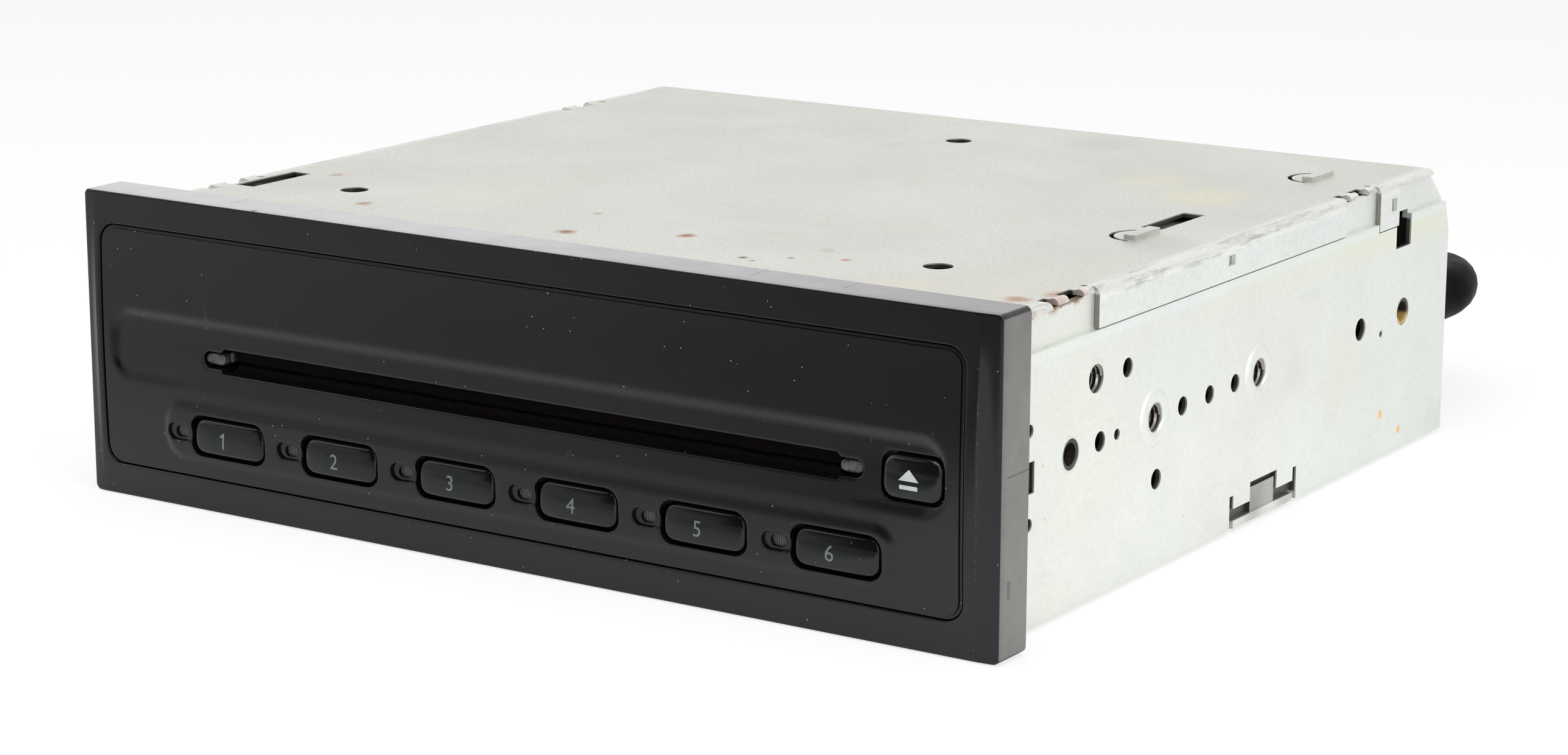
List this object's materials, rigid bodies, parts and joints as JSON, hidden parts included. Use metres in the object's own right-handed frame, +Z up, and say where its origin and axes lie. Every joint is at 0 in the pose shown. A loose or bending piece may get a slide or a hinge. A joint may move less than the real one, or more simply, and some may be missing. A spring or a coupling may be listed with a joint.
{
  "type": "car cd changer",
  "caption": "In-dash slot-loading car CD changer with preset and eject buttons, sheet steel case, disc trays, swinging play arm and rear harness.",
  "frame": {"origin": "on the floor, under the middle of the bezel and case without the harness", "axes": "+X to the right seen from the front, +Y from the bezel to the rear, +Z up"},
  "size_m": [0.188, 0.2269, 0.055],
  "materials": {
    "front_plastic": "fine grained, semi-matt",
    "button_plastic": "gloss",
    "felt": "short felt",
    "clear_plastic": "clear, slightly smoked",
    "circuit_board": "solder mask",
    "electronic_parts": "moulded black",
    "inner_plastic": "moulded",
    "zinc_sheet": "zinc plated, slightly spangled",
    "screw_steel": "yellow zinc plated",
    "damper_rubber": "soft amber rubber",
    "bright_steel": "ground",
    "roller_rubber": "matt",
    "gear_plastic": "moulded acetal",
    "tray_aluminium": "satin",
    "motor_can": "nickel plated",
    "ribbon": "flat film",
    "harness_tape": "wound tape",
    "plug_plastic": "moulded"
  },
  "bodies": {
    "housing": {"front_bezel": "front_plastic", "front_panel": "front_plastic", "slot_felts": "felt", "slot_light_guides": "clear_plastic", "indicator_lenses": "clear_plastic", "switch_board": "circuit_board", "switch_board_parts": "electronic_parts", "front_carrier": "inner_plastic", "front_screws": "screw_steel", "main_chassis": "zinc_sheet", "top_cover": "zinc_sheet", "bottom_cover": "zinc_sheet", "rear_screws": "screw_steel", "dampers": "damper_rubber", "mechanism_deck": "zinc_sheet", "upper_plate": "zinc_sheet", "frame_pillars": "bright_steel", "lift_motor": "motor_can", "lift_belt": "roller_rubber", "roller_brackets": "inner_plastic", "feed_motor": "motor_can", "arm_motor": "motor_can", "main_board": "circuit_board", "board_parts": "electronic_parts", "flat_cable": "ribbon", "harness_grommet": "roller_rubber", "harness_cable": "harness_tape", "harness_connector": "plug_plastic", "disc_tray_3": "tray_aluminium"},
    "preset_button_1": {"preset_button_1": "button_plastic"},
    "preset_button_2": {"preset_button_2": "button_plastic"},
    "preset_button_3": {"preset_button_3": "button_plastic"},
    "preset_button_4": {"preset_button_4": "button_plastic"},
    "preset_button_5": {"preset_button_5": "button_plastic"},
    "preset_button_6": {"preset_button_6": "button_plastic"},
    "eject_button": {"eject_button": "button_plastic"},
    "shutter": {"slot_shutter": "inner_plastic"},
    "roller": {"feed_roller": "roller_rubber", "roller_shaft": "bright_steel", "roller_gear": "gear_plastic"},
    "feed_pinion": {"feed_pinion": "gear_plastic"},
    "lift_screw_front_left": {"lift_screw_front_left": "gear_plastic"},
    "lift_screw_front_right": {"lift_screw_front_right": "gear_plastic"},
    "lift_screw_rear_right": {"lift_screw_rear_right": "gear_plastic"},
    "lift_motor_wheel": {"lift_motor_wheel": "gear_plastic"},
    "lower_trays": {"disc_tray_1": "tray_aluminium", "disc_tray_2": "tray_aluminium"},
    "upper_trays": {"disc_tray_4": "tray_aluminium", "disc_tray_5": "tray_aluminium", "disc_tray_6": "tray_aluminium"},
    "play_arm": {"play_arm": "inner_plastic", "spindle_motor": "motor_can", "sled_guide_rod": "bright_steel", "sled_motor": "motor_can"},
    "arm_pinion": {"arm_pinion": "gear_plastic"},
    "turntable": {"turntable": "inner_plastic"},
    "pickup_sled": {"pickup_sled": "inner_plastic"},
    "sled_screw": {"sled_screw": "bright_steel"},
    "clamp_arm": {"clamp_arm": "zinc_sheet"},
    "clamping_disc": {"clamping_disc": "gear_plastic"}
  },
  "joints": [
    {"name": "preset_1_press", "type": "slide", "parent": "housing", "child": "preset_button_1", "axis": [0, 1, 0], "range_m": [0, 0.0008], "stiffness_N_per_m": 1500, "springref_m": -0.0004},
    {"name": "preset_2_press", "type": "slide", "parent": "housing", "child": "preset_button_2", "axis": [0, 1, 0], "range_m": [0, 0.0008], "stiffness_N_per_m": 1500, "springref_m": -0.0004},
    {"name": "preset_3_press", "type": "slide", "parent": "housing", "child": "preset_button_3", "axis": [0, 1, 0], "range_m": [0, 0.0008], "stiffness_N_per_m": 1500, "springref_m": -0.0004},
    {"name": "preset_4_press", "type": "slide", "parent": "housing", "child": "preset_button_4", "axis": [0, 1, 0], "range_m": [0, 0.0008], "stiffness_N_per_m": 1500, "springref_m": -0.0004},
    {"name": "preset_5_press", "type": "slide", "parent": "housing", "child": "preset_button_5", "axis": [0, 1, 0], "range_m": [0, 0.0008], "stiffness_N_per_m": 1500, "springref_m": -0.0004},
    {"name": "preset_6_press", "type": "slide", "parent": "housing", "child": "preset_button_6", "axis": [0, 1, 0], "range_m": [0, 0.0008], "stiffness_N_per_m": 1500, "springref_m": -0.0004},
    {"name": "eject_press", "type": "slide", "parent": "housing", "child": "eject_button", "axis": [0, 1, 0], "range_m": [0, 0.0008], "stiffness_N_per_m": 1500, "springref_m": -0.0004},
    {"name": "shutter_drop", "type": "slide", "parent": "housing", "child": "shutter", "axis": [0, 0, -1], "range_m": [0, 0.0066], "stiffness_N_per_m": 20, "springref_m": -0.006},
    {"name": "roller_spin", "type": "hinge", "parent": "housing", "child": "roller", "pos_m": [0, -0.0576, 0.0229], "axis": [1, 0, 0], "continuous": true},
    {"name": "feed_pinion_spin", "type": "hinge", "parent": "housing", "child": "feed_pinion", "pos_m": [0, -0.06704, 0.01745], "axis": [1, 0, 0], "continuous": true},
    {"name": "lift_front_left_turn", "type": "hinge", "parent": "housing", "child": "lift_screw_front_left", "pos_m": [-0.072, -0.0426, 0.027], "axis": [0, 0, 1], "range_deg": [-540, 0]},
    {"name": "lift_front_right_turn", "type": "hinge", "parent": "housing", "child": "lift_screw_front_right", "pos_m": [0.072, -0.0426, 0.027], "axis": [0, 0, 1], "range_deg": [-540, 0]},
    {"name": "lift_rear_right_turn", "type": "hinge", "parent": "housing", "child": "lift_screw_rear_right", "pos_m": [0.06, 0.0694, 0.027], "axis": [0, 0, 1], "range_deg": [-540, 0]},
    {"name": "lift_wheel_turn", "type": "hinge", "parent": "housing", "child": "lift_motor_wheel", "pos_m": [0.074, 0.0134, 0.048], "axis": [0, 0, 1], "range_deg": [-540, 0]},
    {"name": "upper_trays_lift", "type": "slide", "parent": "housing", "child": "upper_trays", "axis": [0, 0, 1], "range_m": [-0.0086, 0]},
    {"name": "lower_trays_lift", "type": "slide", "parent": "housing", "child": "lower_trays", "axis": [0, 0, 1], "range_m": [0, 0.0086]},
    {"name": "arm_swing", "type": "hinge", "parent": "housing", "child": "play_arm", "pos_m": [-0.0716, 0.0614, 0.027], "axis": [0, 0, 1], "range_deg": [0, 56.16]},
    {"name": "arm_pinion_turn", "type": "hinge", "parent": "housing", "child": "arm_pinion", "pos_m": [-0.0716, 0.0759, 0.039], "axis": [0, 0, 1], "range_deg": [-112.34, 0]},
    {"name": "turntable_spin", "type": "hinge", "parent": "play_arm", "child": "turntable", "pos_m": [-0.0716, -0.0248, 0.024], "axis": [0, 0, 1], "continuous": true},
    {"name": "sled_travel", "type": "slide", "parent": "play_arm", "child": "pickup_sled", "axis": [0, 1, 0], "range_m": [0, 0.033]},
    {"name": "sled_screw_turn", "type": "hinge", "parent": "play_arm", "child": "sled_screw", "pos_m": [-0.0768, 0.0114, 0.022], "axis": [0, 1, 0], "range_deg": [0, 3961]},
    {"name": "clamp_lower", "type": "hinge", "parent": "play_arm", "child": "clamp_arm", "pos_m": [-0.0716, 0.0512, 0.0335], "axis": [1, 0, 0], "range_deg": [0, 1.6], "stiffness_Nm_per_rad": 0.5, "springref_deg": -1.72},
    {"name": "clamping_disc_spin", "type": "hinge", "parent": "clamp_arm", "child": "clamping_disc", "pos_m": [-0.0716, -0.0248, 0.033], "axis": [0, 0, 1], "continuous": true}
  ],
  "couplings": [
    {"joint": "feed_pinion_spin", "follows": "roller_spin", "ratio": -2},
    {"joint": "lift_front_left_turn", "follows": "upper_trays_lift", "rad_per_m": 1095.8},
    {"joint": "lift_front_right_turn", "follows": "upper_trays_lift", "rad_per_m": 1095.8},
    {"joint": "lift_rear_right_turn", "follows": "upper_trays_lift", "rad_per_m": 1095.8},
    {"joint": "lift_wheel_turn", "follows": "upper_trays_lift", "rad_per_m": 1095.8},
    {"joint": "lower_trays_lift", "follows": "upper_trays_lift", "ratio": -0.9999},
    {"joint": "arm_pinion_turn", "follows": "arm_swing", "ratio": -2},
    {"joint": "sled_screw_turn", "follows": "sled_travel", "rad_per_m": 2094.4}
  ]
}
